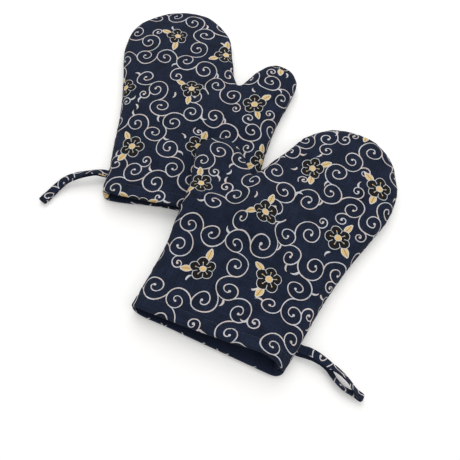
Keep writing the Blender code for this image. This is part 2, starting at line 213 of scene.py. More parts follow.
class Waves:
    """A smooth, seeded, wavy field of about one wavelength, mostly between -1 and 1."""
    RATES = (0.6, 1.5)
    HEIGHT = 0.8

    def __init__(self, seed, wavelength, count=12):
        rng = random.Random(seed)
        turns = [rng.uniform(0, math.tau) for _ in range(count)]
        rates = [math.tau / wavelength * rng.uniform(*self.RATES) for _ in range(count)]
        self.x = np.array([math.cos(a) * k for a, k in zip(turns, rates)])
        self.y = np.array([math.sin(a) * k for a, k in zip(turns, rates)])
        self.start = np.array([rng.uniform(0, math.tau) for _ in range(count)])

    def __call__(self, x, y=0.0):
        angle = np.multiply.outer(x, self.x) + np.multiply.outer(np.zeros_like(x) + y, self.y)
        return np.sin(angle + self.start).sum(-1) / math.sqrt(len(self.x)) * self.HEIGHT


def pairs(x, y):
    """Plan points with these coordinates, where one of the two may be a single number."""
    return np.column_stack(np.broadcast_arrays(x, y))


def unit(ways):
    """The same direction or directions, of length 1."""
    return ways / np.linalg.norm(ways, axis=-1, keepdims=True)


def turned_axes(turn):
    return np.array([[math.cos(turn), math.sin(turn)], [-math.sin(turn), math.cos(turn)]])


def hermite(a, slope_a, b, slope_b, t):
    """The place at share t of the smooth curve from a to b that has these slopes at its ends."""
    return (a * (2 * t**3 - 3 * t**2 + 1) + slope_a * (t**3 - 2 * t**2 + t)
            + b * (3 * t**2 - 2 * t**3) + slope_b * (t**3 - t**2))


def lengths_along(line):
    """How far along a line each of its points is."""
    return np.concatenate([[0.0], np.cumsum(np.linalg.norm(np.diff(line, axis=0), axis=1))])


def edge_line():
    """The mitt's edge as fine points, each with its inward normal."""
    points = np.array(OUTLINE_SHARES) * (CUFF_WIDTH, MITT_LENGTH)
    runs = np.diff(points, axis=0)
    spans = np.linalg.norm(runs, axis=1)
    runs /= spans[:, None]
    slopes = [np.array((0.0, 1.0))]
    for i in range(1, len(points) - 1):
        slopes.append((runs[i - 1] * spans[i] + runs[i] * spans[i - 1]) / (spans[i] + spans[i - 1]))
    slopes.append(np.array((0.0, -1.0)))
    line, normals = [], []
    for i, span in enumerate(spans):
        last = i == len(spans) - 1
        for step in range(EDGE_STEPS + (1 if last else 0)):
            t = step / EDGE_STEPS
            a, b = points[i], points[i + 1]
            u, v = slopes[i] * span, slopes[i + 1] * span
            line.append(hermite(a, u, b, v, t))
            along = unit(a * (6 * t**2 - 6 * t) + u * (3 * t**2 - 4 * t + 1)
                         + b * (6 * t - 6 * t**2) + v * (3 * t**2 - 2 * t))
            normals.append((along[1], -along[0]))
    return np.array(line), np.array(normals)


EDGE, INWARD = edge_line()
ALONG = lengths_along(EDGE)


def ramp(share, corner):
    """A straight climb from 0 at share 0 to 1 at share 1, with rounded ends of that share each."""
    share = np.clip(share, 0.0, 1.0)
    top = corner * (1.0 - corner)
    low = share**2 / (2 * top)
    high = 1.0 - (1.0 - share) ** 2 / (2 * top)
    middle = (share - corner / 2) / (1.0 - corner)
    return np.where(share < corner, low, np.where(share > 1 - corner, high, middle))


def depth(half):
    return BACK_DEPTH if half > 0 else PALM_DEPTH


def wrap(half):
    """How far the flat cloth reaches past the edge in plan, to cover the rounded side, point by point."""
    in_crotch = np.exp(-(((ALONG - ALONG[CROTCH * EDGE_STEPS]) / CROTCH_REACH) ** 2))
    return (math.pi / 2 - 1) * depth(half) * (1 - CROTCH_TUCK * in_crotch)


def nearest(plan, line):
    """For plan points: the nearest point of a line, the segment it is in, and its share along that."""
    start, run = line[:-1], np.diff(line, axis=0)
    length2 = (run**2).sum(1)
    segment = np.empty(len(plan), int)
    share = np.empty(len(plan))
    for first in range(0, len(plan), BLOCK):
        block = slice(first, first + BLOCK)
        off = plan[block, None] - start[None]
        t = np.clip((off * run).sum(-1) / length2, 0, 1)
        off -= run * t[..., None]
        best = (off**2).sum(-1).argmin(1)
        segment[block] = best
        share[block] = t[np.arange(len(best)), best]
    return start[segment] + run[segment] * share[:, None], segment, share


def to_edge(plan, half):
    """For plan points: nearest edge point, inward direction, distance inside, place along, wrap."""
    foot, segment, share = nearest(plan, EDGE)
    between = INWARD[segment] * (1 - share)[:, None] + INWARD[segment + 1] * share[:, None]
    off = plan - foot
    distance = np.linalg.norm(off, axis=1)
    side = np.where((off * between).sum(1) >= 0, 1.0, -1.0)
    close = distance < ON_EDGE
    off[close] = between[close]
    off = unit(off) * np.where(close, 1.0, side)[:, None]
    along = ALONG[segment] + (ALONG[segment + 1] - ALONG[segment]) * share
    reach = wrap(half)
    extra = reach[segment] * (1 - share) + reach[segment + 1] * share
    return foot, off, distance * side, along, extra


def outside_mitt(plan):
    """Distance of plan points from a mitt's closed outline, negative inside it."""
    ring = np.vstack([EDGE[::OUTLINE_STEP], EDGE[:1]])
    foot, _, _ = nearest(plan, ring)
    distance = np.linalg.norm(plan - foot, axis=1)
    a, b = ring[:-1], ring[1:]
    crossing = (a[None, :, 1] > plan[:, None, 1]) != (b[None, :, 1] > plan[:, None, 1])
    rise = np.where(b[:, 1] == a[:, 1], 1.0, b[:, 1] - a[:, 1])
    at = a[None, :, 0] + (b - a)[None, :, 0] * (plan[:, None, 1] - a[None, :, 1]) / rise
    inside = (crossing & (plan[:, None, 0] < at)).sum(1) % 2 == 1
    return np.where(inside, -distance, distance)


class Mitt:
    """One mitt: where it lies, which side its thumb is on, its mouth, and the mitt it lies over."""

    def __init__(self, name, at, turn, thumb_side, mouth, nudges, seed, under=None):
        self.name = name
        self.nudges = nudges
        self.origin = np.array(at)
        self.axes = turned_axes(turn)
        self.thumb_side = thumb_side
        self.mouth = mouth
        self.under = under
        self.over = None
        if under is not None:
            under.over = self
        self.wide = Waves(seed, WIDE_WAVE_LENGTH)
        self.fine = Waves(seed + 1, FINE_WAVE_LENGTH)
        self.puckers = {half: Waves(seed + 2 + half, PUCKER_LENGTH) for half in (1, -1)}
        self.hem_puckers = Waves(seed + 7, HEM_PUCKER_LENGTH)

    def placed(self, points):
        """World places of points in the mitt's turned frame, which isn't mirrored."""
        return np.column_stack([points[:, :2] @ self.axes + self.origin, points[:, 2]])

    def world(self, x, y, z):
        return self.placed(np.column_stack([x * self.thumb_side, y, z]))

    def local(self, plan):
        own = (plan - self.origin) @ self.axes.T
        return own * (self.thumb_side, 1.0)

    def pressed(self, x, y):
        """How much the mitt that lies over this one presses on plan points, from 0 to 1."""
        if self.over is None:
            return np.zeros(len(x))
        outside = outside_mitt(self.over.local(self.world(x, y, x)[:, :2]))
        return smooth(1.0 - (outside + PRESS_REACH) / PRESS_RUN)

    def thumb(self, x, y):
        """How much plan points belong to a thumb that lies over the other mitt, from 0 to 1."""
        if self.under is None:
            return np.zeros(len(x))
        return smooth((x - THUMB_FROM[0]) / THUMB_RUN[0]) * smooth((y - THUMB_FROM[1]) / THUMB_RUN[1])

    def relief(self, half, flat, inside, extra, along):
        """How far the cloth stands out over the plain rounded shape."""
        arc = inside + extra
        middle = smooth((inside - CROWN_FROM) / CROWN_RUN) * smooth(flat[:, 1] / CROWN_HEM_RUN)
        pressed, thumb = self.pressed(*flat.T), self.thumb(*flat.T)
        out = CROWN[half] * middle * (1.0 - np.maximum(pressed, thumb))
        if half > 0:
            out = out - (PRESS * pressed + THUMB_FLATTEN * thumb) * smooth(inside / PRESS_EDGE_RUN)
            waves = self.wide(*flat.T) + FINE_WAVE_SHARE * self.fine(*flat.T)
            out = out + WAVE * smooth(inside / WAVE_RUN) * waves
        out = out - SEAM_PINCH * np.exp(-((arc / SEAM_PINCH_REACH) ** 2))
        side = np.exp(-arc / PUCKER_REACH) * smooth(arc / PUCKER_FROM)
        out = out + PUCKER * side * self.puckers[half](along)
        from_stitch = flat[:, 1] - HEM_STITCH_AT
        out = out - STITCH_GROOVE * np.exp(-((from_stitch / STITCH_GROOVE_REACH) ** 2))
        near_hem = np.exp(-np.abs(from_stitch) / HEM_PUCKER_REACH)
        return out + PUCKER * near_hem * self.hem_puckers(flat[:, 0])

    def lift(self, x, y):
        """How far the mitt is raised at plan points by the mitt that it lies over."""
        if self.under is None:
            return np.zeros(len(x))
        plan = self.under.local(self.world(x, y, x)[:, :2])
        outside = outside_mitt(plan)
        climb = ramp(1.0 - (outside + DRAPE_IN) / DRAPE_RUN, DRAPE_CORNER)
        flat = pairs(plan[:, 0], np.maximum(plan[:, 1], LIP))
        _, _, inside, along, extra = to_edge(flat, 1)
        raised = self.under.relief(1, flat, inside, extra, along)
        top = self.under.at(1, flat[:, 0], flat[:, 1], BACK_DEPTH + raised)[:, 2]
        return (top + DRAPE_CLEARANCE) * climb

    def at(self, half, x, y, height, off_seam=1.0):
        """World places of a half's points: plan place, height from the seam, 0 at the seam to 1 off it."""
        near_mouth = np.clip(1.0 - y / MOUTH_DEPTH, 0.0, None) ** 2
        mouth = self.mouth
        peak = mouth["peak"]
        side = np.where(x > peak, CUFF_WIDTH / 2 - peak, CUFF_WIDTH / 2 + peak)
        from_peak = np.clip(np.abs(x - peak) / side, 0.0, 1.0)
        free = near_mouth * off_seam
        if half > 0:
            arch = free * (1.0 - from_peak**ARCH_POWER) * (1.0 - self.pressed(x, y))
            height = height * (1.0 + arch * mouth["rise"] / BACK_DEPTH)
            shift = mouth["draw"] * arch
        else:
            power = np.where(x > peak, BOW_POWER, LOOP_SIDE_BOW_POWER)
            shift = -mouth["bow"] * free * (1.0 - from_peak**power)
        from_middle = np.clip(np.abs(x) / (CUFF_WIDTH / 2), 0.0, 1.0)
        free = free * (1.0 - from_middle**LIP_POWER)
        for lip_half, place, reach, back, up in mouth["lips"]:
            if lip_half == half:
                share = free * np.exp(-(((x - place) / reach) ** 2))
                height = height * (1.0 + share * up / depth(half))
                shift = shift + back * share
        curl = mouth["curl"] * smooth(1.0 - y / HEM_CURL_RUN)
        corner = smooth(1.0 - y / DROOP_RUN) * smooth((-x - DROOP_FROM) / (CUFF_WIDTH / 2 - DROOP_FROM))
        droop = mouth["droop"] * corner * np.clip(1.0 - height / depth(half), 0.0, 1.0)
        if self.under is not None:
            thumb = self.thumb(x, y)
            off = pairs(x, y) - THUMB_PIVOT
            x = x + thumb * (THUMB_MOVE[0] + THUMB_WIDEN * off[:, 0] + THUMB_TURN * off[:, 1])
            y = y + thumb * (THUMB_MOVE[1] - THUMB_SHORTEN * off[:, 1] - THUMB_TURN * off[:, 0])
        x = x - mouth["flare"] * smooth(1.0 - y / FLARE_RUN) * smooth(-x / FLARE_SIDE_RUN)
        for place, reach, move in self.nudges:
            share = np.exp(-((x - place[0]) ** 2 + (y - place[1]) ** 2) / reach**2)
            x, y = x + move[0] * share, y + move[1] * share
        z = PALM_DEPTH + half * height + curl - droop + self.lift(x, y)
        return self.world(x, y + shift, z)

    def surface(self, half, flat_points, deep):
        """World places of points of a flat layer, so deep inside the padding, and round the lip."""
        u, v = flat_points.T
        flat = pairs(u, np.maximum(v, LIP))
        foot, inward, inside, along, extra = to_edge(flat, half)
        radius = depth(half)
        turn = np.clip((inside + extra) / (radius + extra), 0.0, 1.0) * math.pi / 2
        roll = np.clip((LIP - v) / LIP, 0.0, math.pi)
        raised = self.relief(half, flat, inside, extra, along)
        sunk = LIP - (LIP - deep) * np.cos(roll) - raised
        rounding = radius - sunk
        fill = self.mouth["fill"] * smooth(1.0 - along / FILL_RUN)
        fill = fill * smooth((sunk - BATTING_FROM) / FILL_DEPTH)
        inner = sunk + rounding * (1 - np.cos(turn)) + fill * np.cos(turn)
        plan = foot + inward * inner[:, None]
        level = inside >= radius
        plan[level] = flat[level]
        forward = -abs(LIP - deep) * np.sin(roll)
        off_seam = smooth(radius * np.sin(turn) / LIP_FREE_HEIGHT)
        return self.at(half, plan[:, 0], plan[:, 1] + forward, rounding * np.sin(turn), off_seam)


# The print: scrolls that branch off each other, with blossoms over them
NAVY, CREAM, BLACK, WHITE, GOLD = range(5)
FIELD = 0.36
SCROLL_RADII = (0.0142, 0.013, 0.012, 0.011)
SMALL_RADII = (0.0092, 0.008, 0.007)
SCROLL_GAP = 0.0044
FIRST_START = 0.4
ARM_SPACING = 0.0078
SCROLL_TURNS = (1.3, 1.75)
SCROLL_CLOSING = 0.9
SCROLL_MEAN_RADIUS = 0.55
SCROLL_LEAST_STEPS = 12
BRANCH_SWEPT = (0.45, 4.9, 24)
LINE_WIDTH = 0.00102
LINE_START = 1.06
LINE_THINNING = 0.12
LINE_WOBBLE = 0.14
LINE_WOBBLE_LENGTH = 0.02
LINE_ROUGHNESS = 0.09
BALL_RADIUS = 0.00125
STROKE_STEP = 0.0013
DRIFT = 0.0011
DRIFT_LENGTH = 0.045
SPROUT_CHANCE = 0.6
SPROUT_SWEPT = (0.3, 3.6)
SPROUT_LENGTH = 0.0085
SPROUT_SWEEP = 1.7
SPROUT_LEAN = 0.75
FREE_RADII = (0.0048, 0.0125)
FREE_STEP = 0.0025
COMMA_ROOM = 0.0078
COMMA_MIDDLE = 0.4
COMMA_STEPS = 8
COMMA_SWELL = 1.3
COMMA_HEAD = 0.75
COMMA_TAPER = 0.85
BLOSSOM_SPACING = 0.073
BLOSSOM_JITTER = 0.12
BLOSSOM_RADIUS = 0.0122
BLOSSOM_GAP = 0.0085
INK_EDGE = 0.0006
PETALS = 5
PETAL_POINTS = 60
PETAL_NOTCH = 0.74
PETAL_BULGE = 0.26
PETAL_FOLD = (0.45, 0.6, 0.76)
PETAL_FOLD_WIDTH = 0.0005
STAMEN_FROM = 0.002
STAMEN_TO = 0.58
STAMEN_WIDTH = 0.0004
STAMEN_HEAD = 0.0006
BLOSSOM_MIDDLE = ((0.0034, WHITE), (0.0029, GOLD))
LEAF_TURNS = (0.9, 2.9)
LEAF_SPAN = (0.75, 1.7)
LEAF_POINT = 0.0005
LEAF_WIDTH = 0.0052
LEAF_POINTS = 9
LEAF_VEIN = (0.2, 0.9, 5)
LEAF_VEIN_WIDTH = 0.0004


class Scroll:
    """A spiral line: its centre, outer radius, turning sense and the angle where it starts."""

    def __init__(self, centre, radius, sense, start):
        self.centre = np.array(centre)
        self.radius = radius
        self.sense = sense
        self.start = start
        turns = SCROLL_CLOSING * radius / ARM_SPACING
        self.sweep = math.tau * min(max(turns, SCROLL_TURNS[0]), SCROLL_TURNS[1])

    def point(self, swept):
        r = self.radius * (1 - SCROLL_CLOSING * swept / self.sweep)
        angle = self.start + self.sense * swept
        return self.centre + np.array((math.cos(angle), math.sin(angle))) * r

    def branch(self, swept, radius):
        """A scroll of that radius that leaves this one's line there, turning the other way."""
        at = self.point(swept)
        out = unit(at - self.centre)
        return Scroll(at + out * radius, radius, -self.sense, math.atan2(-out[1], -out[0]))


def grow_field(seed):
    """The scrolls of a square field of print, and the places of its blossoms and commas."""
    rng = random.Random(seed)
    blossoms = []
    count = int(FIELD / BLOSSOM_SPACING)
    for row in range(count):
        for column in range(count):
            across = column + 0.25 + 0.5 * (row % 2)
            x = (across + rng.uniform(-BLOSSOM_JITTER, BLOSSOM_JITTER)) * BLOSSOM_SPACING
            y = (row + 0.5 + rng.uniform(-BLOSSOM_JITTER, BLOSSOM_JITTER)) * BLOSSOM_SPACING
            blossoms.append((x, y, rng.uniform(0, math.tau)))
    scrolls = []
    centres = [np.array(b[:2]) for b in blossoms]
    radii = [BLOSSOM_GAP] * len(blossoms)

    def add(scroll):
        scrolls.append(scroll)
        centres.append(scroll.centre)
        radii.append(scroll.radius)

    def try_branches(parent, parent_index, sizes):
        steps = list(np.linspace(*BRANCH_SWEPT))
        rng.shuffle(steps)
        for radius in sizes:
            for swept in steps:
                child = parent.branch(swept, radius)
                if not (0 < child.centre[0] < FIELD and 0 < child.centre[1] < FIELD):
                    continue
                room = np.linalg.norm(np.array(centres) - child.centre, axis=1) - np.array(radii)
                room[parent_index] = math.inf
                if room.min() > radius + SCROLL_GAP:
                    add(child)
                    return True
        return False

    add(Scroll((FIELD / 2, FIELD / 2), SCROLL_RADII[0], 1, FIRST_START))
    for sizes in (SCROLL_RADII, SMALL_RADII):
        i = 0
        while i < len(scrolls):
            while try_branches(scrolls[i], len(blossoms) + i, sizes):
                pass
            i += 1
    steps = np.arange(0, FIELD, FREE_STEP)
    places = np.array([(x, y) for x in steps for y in steps])
    room = np.full(len(places), math.inf)

    def take(centre, radius):
        np.minimum(room, np.linalg.norm(places - centre, axis=1) - radius, out=room)

    for centre, radius in zip(centres, radii):
        take(centre, radius)
    while room.max() - SCROLL_GAP > FREE_RADII[0]:
        best = places[room.argmax()]
        radius = min(room.max() - SCROLL_GAP, FREE_RADII[1])
        sense = rng.choice((-1, 1))
        scrolls.append(Scroll(best, radius, sense, rng.uniform(0, math.tau)))
        take(best, radius)
    commas = []
    while room.max() > COMMA_ROOM:
        best = places[room.argmax()]
        commas.append((best, rng.uniform(0, math.tau), rng.choice((-1, 1))))
        take(best, SPROUT_LENGTH / 2)
    return scrolls, blossoms, commas


def ribbon(line, widths):
    """The outline of a line drawn with a pen of changing width, anticlockwise."""
    line = np.array(line)
    run = unit(np.gradient(line, axis=0))
    side = pairs(-run[:, 1], run[:, 0]) * (np.zeros(len(line)) + widths)[:, None] / 2
    return np.vstack([line - side, (line + side)[::-1]])


def disc(centre, radius, count=10):
    angles = np.arange(count) * math.tau / count
    return np.array(centre) + pairs(np.cos(angles), np.sin(angles)) * radius


def draw_comma(start, heading, sense):
    """A short curved stroke that swells and then tapers to a point."""
    shares = np.linspace(0, 1, COMMA_STEPS + 1)
    angles = heading - sense * SPROUT_SWEEP * shares
    steps = pairs(np.cos(angles), np.sin(angles)) * SPROUT_LENGTH / COMMA_STEPS
    swell = COMMA_SWELL * np.sin(math.pi * shares**COMMA_HEAD)
    widths = LINE_WIDTH * (1.0 + swell - COMMA_TAPER * shares)
    return ribbon(start + np.cumsum(steps, axis=0) - steps[0], widths), CREAM


def draw_scroll(scroll, rng):
    """The shapes of a scroll: its line, the ball at its end and, on some, a sprout."""
    length = scroll.radius * scroll.sweep * SCROLL_MEAN_RADIUS
    steps = max(int(length / STROKE_STEP), SCROLL_LEAST_STEPS)
    swept = np.linspace(0, scroll.sweep, steps + 1)
    line = [scroll.point(s) for s in swept]
    wobble = Waves(rng.randrange(10**6), LINE_WOBBLE_LENGTH)(np.linspace(0, length, steps + 1))
    rough = np.array([rng.uniform(-LINE_ROUGHNESS, LINE_ROUGHNESS) for _ in swept])
    thinning = LINE_THINNING * swept / scroll.sweep
    widths = LINE_WIDTH * (LINE_START - thinning + LINE_WOBBLE * wobble + rough)
    shapes = [(ribbon(line, widths), CREAM), (disc(line[-1], BALL_RADIUS), CREAM)]
    if rng.random() < SPROUT_CHANCE:
        at = rng.uniform(*SPROUT_SWEPT)
        heading = scroll.start + scroll.sense * (at + math.pi / 2 - SPROUT_LEAN)
        shapes.append(draw_comma(scroll.point(at), heading, scroll.sense))
    return shapes


def draw_blossom(x, y, angle):
    """A black blossom with a white edge, golden middle and leaves, and fine white stamens."""
    middle = np.array((x, y))

    def polar(radius, turn):
        return middle + np.array((math.cos(turn), math.sin(turn))) * radius

    shapes = []
    shares = np.linspace(0, 1, LEAF_POINTS)[:, None]
    for leaf in LEAF_TURNS:
        root, tip = (polar(BLOSSOM_RADIUS * share, angle + leaf) for share in LEAF_SPAN)
        for grow, ink in ((INK_EDGE, WHITE), (0.0, GOLD)):
            line = root + (tip - root) * shares + unit(tip - root) * (shares - 0.5) * 2 * grow
            width = LEAF_POINT + LEAF_WIDTH * np.sin(math.pi * shares[:, 0]) + 2 * grow
            shapes.append((ribbon(line, width), ink))
        vein = root + (tip - root) * np.linspace(*LEAF_VEIN)[:, None]
        shapes.append((ribbon(vein, LEAF_VEIN_WIDTH), NAVY))
    turns = np.linspace(0, math.tau, PETAL_POINTS, endpoint=False)
    petals = PETAL_NOTCH + PETAL_BULGE * np.abs(np.cos(PETALS / 2 * turns))
    for grow, ink in ((INK_EDGE, WHITE), (0.0, BLACK)):
        ring = [polar(BLOSSOM_RADIUS * share + grow, angle + turn) for turn, share in zip(turns, petals)]
        shapes.append((np.array(ring), ink))
    for k in range(PETALS):
        notch = angle + (2 * k + 1) * math.pi / PETALS
        fold = [polar(BLOSSOM_RADIUS * share, notch) for share in PETAL_FOLD]
        shapes.append((ribbon(fold, PETAL_FOLD_WIDTH), WHITE))
    for k in range(PETALS):
        turn = angle + k * math.tau / PETALS
        head = polar(BLOSSOM_RADIUS * STAMEN_TO, turn)
        shapes.append((ribbon([polar(STAMEN_FROM, turn), head], STAMEN_WIDTH), WHITE))
        shapes.append((disc(head, STAMEN_HEAD, 7), GOLD))
    return shapes + [(disc(middle, radius, 16), ink) for radius, ink in BLOSSOM_MIDDLE]


def draw_field(seed):
    """All shapes of the field of print, a little adrift, as a hand draws them."""
    rng = random.Random(seed)
    scrolls, blossoms, commas = grow_field(seed)
    shapes = []
    for scroll in scrolls:
        shapes += draw_scroll(scroll, rng)
    for place, heading, sense in commas:
        middle = np.array((math.cos(heading), math.sin(heading))) * SPROUT_LENGTH * COMMA_MIDDLE
        shapes.append(draw_comma(place - middle, heading, sense))
    for blossom in blossoms:
        shapes += draw_blossom(*blossom)
    east, north = Waves(seed, DRIFT_LENGTH), Waves(seed + 1, DRIFT_LENGTH)
    return [(points + pairs(east(*points.T), north(*points.T)) * DRIFT, ink) for points, ink in shapes]


def laid(shapes, turn, shift):
    """The print's shapes, turned about the field's middle and moved so that the middle is at shift."""
    axes = turned_axes(turn)
    return [((points - FIELD / 2) @ axes + shift, ink) for points, ink in shapes]


# Meshes of cloth from flat patterns
SHARP_FROM = 60
STRAP_SHARP_FROM = 70
WELD = 1e-5


def flat_border(half, foot):
    """The border of a half's flat cloth, anticlockwise, from the thumb-side foot to the loop's side."""
    border = EDGE - INWARD * wrap(half)[:, None]
    border = border[EDGE[:, 1] > LIP + BORDER_GAP][::-1]
    steps = max(int((LIP - foot) / HEM_ROW), 1)
    rows = np.linspace(foot, LIP, steps + 1)
    right = pairs(border[0][0], rows)
    left = pairs(border[-1][0], rows[::-1])
    columns = int((right[0][0] - left[-1][0]) / GRID)
    base = np.linspace(left[-1], right[0], columns + 1)[1:-1]
    return np.vstack([right, border, left, base])


def flat_points(half, foot, grid):
    """Points inside a half's flat cloth: rows beside the seam and the hem, and a grid."""
    reach = wrap(half)
    off_lip = EDGE[:, 1] > LIP
    found = [(EDGE - INWARD * (reach - row)[:, None])[off_lip] for row in SEAM_ROWS]
    low, high = EDGE.min(0) - BACK_DEPTH, EDGE.max(0) + BACK_DEPTH
    columns = np.arange(low[0], high[0], grid)
    hem_rows = list(np.arange(foot + HEM_ROW, HEM_ROWS_TO, HEM_ROW))
    steps = range(-HEM_STITCH_ROWS, HEM_STITCH_ROWS + 1)
    hem_rows += [HEM_STITCH_AT + step * HEM_ROW for step in steps]
    found += [pairs(columns, row) for row in hem_rows]
    for i, row in enumerate(np.arange(GRID_FROM, high[1], grid * GRID_ROW_SHARE)):
        if abs(row - HEM_STITCH_AT) > (HEM_STITCH_ROWS + 1) * HEM_ROW:
            found.append(pairs(columns + grid / 2 * (i % 2), row))
    points = np.vstack(found)
    points = points[points[:, 1] > foot + ROW_MARGIN]
    flat = pairs(points[:, 0], np.maximum(points[:, 1], LIP))
    _, _, inside, _, extra = to_edge(flat, half)
    seam_points = len(SEAM_ROWS) * off_lip.sum()
    near = np.where(np.arange(len(points)) < seam_points, ROW_MARGIN, GRID_MARGIN)
    points = points[inside + extra > near]
    kept, taken = [], set()
    for point in points:
        cell = (round(point[0] / POINT_SPACING), round(point[1] / POINT_SPACING))
        if cell not in taken:
            taken.add(cell)
            kept.append(point)
    return np.array(kept)


def cut_cloth(border, inner, shapes):
    """A flat cloth cut along its print: points, triangles, each one's ink, and the border's edges."""
    points, faces = [Vector(p) for p in border], [list(range(len(border)))]
    inks = [NAVY]
    low, high = border.min(0), border.max(0)
    for outline, ink in shapes:
        if (outline.max(0) < low).any() or (outline.min(0) > high).any():
            continue
        faces.append(list(range(len(points), len(points) + len(outline))))
        points += [Vector(p) for p in outline]
        inks.append(ink)
    points += [Vector(p) for p in inner]
    found = delaunay_2d_cdt(points, [], faces, 1, CUT_TOLERANCE)
    within = [(triangle, inside) for triangle, inside in zip(found[2], found[5]) if 0 in inside]
    ink_of = [inks[max(inside)] for _, inside in within]
    used = sorted({v for triangle, _ in within for v in triangle})
    number = {v: i for i, v in enumerate(used)}
    flat = np.array([found[0][v][:] for v in used])
    triangles = [[number[v] for v in triangle] for triangle, _ in within]
    edges = {edge: True for a, b, c in triangles for edge in ((a, b), (b, c), (c, a))}
    return flat, triangles, ink_of, [edge for edge in edges if edge[::-1] not in edges]


def show(name, data):
    """A new object of the scene with that mesh, lamp or camera."""
    obj = bpy.data.objects.new(name, data)
    bpy.context.scene.collection.objects.link(obj)
    return obj


def cloth_mesh(name, points, faces, flat, inks, materials):
    """A mesh with an ink on each face, and its flat pattern as its UV map."""
    mesh = bpy.data.meshes.new(name)
    mesh.from_pydata(points.tolist(), [], faces)
    for material in materials:
        mesh.materials.append(material)
    mesh.polygons.foreach_set("material_index", inks)
    uv = mesh.uv_layers.new(name="flat_cloth")
    loops = np.empty(len(mesh.loops), np.int32)
    mesh.loops.foreach_get("vertex_index", loops)
    uv.data.foreach_set("uv", flat[loops].astype(np.float32).ravel())
    return mesh


def shade(mesh, sharp_from):
    mesh.shade_smooth()
    mesh.set_sharp_from_angle(angle=math.radians(sharp_from))


def close_up(mesh):
    """Welds what touches in a mesh, fills its open ends and turns its faces outward."""
    shape = bmesh.new()
    shape.from_mesh(mesh)
    bmesh.ops.remove_doubles(shape, verts=shape.verts, dist=WELD)
    ends = [edge for edge in shape.edges if edge.is_boundary]
    bmesh.ops.holes_fill(shape, edges=ends, sides=0)
    bmesh.ops.recalc_face_normals(shape, faces=shape.faces)
    shape.to_mesh(mesh)
    shape.free()


def flat_area(flat, triangles):
    a, b, c = (flat[[t[k] for t in triangles]] for k in range(3))
    u, v = b - a, c - a
    return float(np.abs(u[:, 0] * v[:, 1] - u[:, 1] * v[:, 0]).sum() / 2)


def add_layer(mitt, half, layer, shapes=()):
    """One layer of a half as a closed cloth, which stands for the CAD's layer."""
    deep_from, deep_to, foot, grid, materials = LAYERS[layer]
    border = flat_border(half, foot)
    flat, triangles, ink_of, rim = cut_cloth(border, flat_points(half, foot, grid), shapes)
    both = np.vstack([mitt.surface(half, flat, deep) for deep in (deep_from, deep_to)])
    n = len(flat)
    faces = [list(t) for t in triangles]
    faces += [[v + n for v in reversed(t)] for t in triangles]
    faces += [[b, a, a + n, b + n] for a, b in rim]
    if half * mitt.thumb_side < 0:
        faces = [face[::-1] for face in faces]
    inks = list(ink_of) + [NAVY] * (len(faces) - len(ink_of))
    node = f"{mitt.name}_{layer}_{'back' if half > 0 else 'palm'}"
    mesh = cloth_mesh(f"{node}_cloth", both, faces, np.vstack([flat, flat]), inks, materials)
    shade(mesh, SHARP_FROM)
    obj = show(f"{node}_cloth", mesh)
    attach(obj, mitt.name)
    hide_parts(node)
    size = flat.max(0) - flat.min(0)
    return obj, [float(s) for s in size], flat_area(flat, triangles)


# Materials
THREAD_PITCH = 0.00052
WEAVE_HEIGHT = 0.00006
WEAVE_BUMP = 0.5
WEAVE_RANGE = (-0.3, 1.0)
WEAVE_TONES = (0.82, 1.08)
NOISE_RANGE = (1.4, 2.6)
FIBRE_RANGE = (0.3, 0.7)
FADE_RANGE = (0.4, 0.6)
YARN_SCALES = (900.0, 60.0)
BLOTCH_SCALE = 55.0
GRAIN_SCALE = 1100.0
PATCH_SCALE = 90.0
FIBRE_HEIGHT = 0.0002
FIBRE_BUMP = 0.4
NAVY_SPREAD = 0.75


def linear(red, green, blue):
    """A linear colour from the 0 to 255 numbers of a screen colour."""
    shares = [value / 255 for value in (red, green, blue)]
    return tuple(s / 12.92 if s <= 0.04045 else ((s + 0.055) / 1.055) ** 2.4 for s in shares)


class Nodes:
    """Short calls for building a node tree."""

    def __init__(self, tree):
        self.tree = tree
        self.shader = tree.nodes.get("Principled BSDF")

    def add(self, kind, inputs=(), **settings):
        node = self.tree.nodes.new(kind)
        for key, value in settings.items():
            setattr(node, key, value)
        for key, value in dict(inputs).items():
            self.put(node.inputs[key], value)
        return node

    def put(self, socket, value):
        if isinstance(value, bpy.types.NodeSocket):
            self.tree.links.new(value, socket)
        else:
            socket.default_value = value

    def math(self, operation, a, b=0.0):
        return self.add("ShaderNodeMath", {0: a, 1: b}, operation=operation).outputs[0]

    def noise(self, where, scale, detail):
        inputs = {"Vector": where, "Scale": scale, "Detail": detail}
        return self.add("ShaderNodeTexNoise", inputs).outputs["Fac"]

    def scaled(self, value, low, high, to_low, to_high):
        inputs = {"Value": value, "From Min": low, "From Max": high, "To Min": to_low, "To Max": to_high}
        return self.add("ShaderNodeMapRange", inputs).outputs[0]

    def finish(self, colour, tone, strength, distance, height):
        """The shader's colour, lighter and darker by the tone, and its bump."""
        tint = self.add("ShaderNodeVectorMath", {0: colour, "Scale": tone}, operation="SCALE")
        bump = self.add("ShaderNodeBump", {"Strength": strength, "Distance": distance, "Height": height})
        self.put(self.shader.inputs["Base Color"], tint.outputs[0])
        self.put(self.shader.inputs["Normal"], bump.outputs[0])


def new_material(name, **inputs):
    """A new material and its nodes, with these values in its shader's inputs."""
    material = bpy.data.materials.new(name)
    material.use_nodes = True
    made = Nodes(material.node_tree)
    for key, value in inputs.items():
        made.put(made.shader.inputs[key.replace("_", " ")], value)
    return material, made


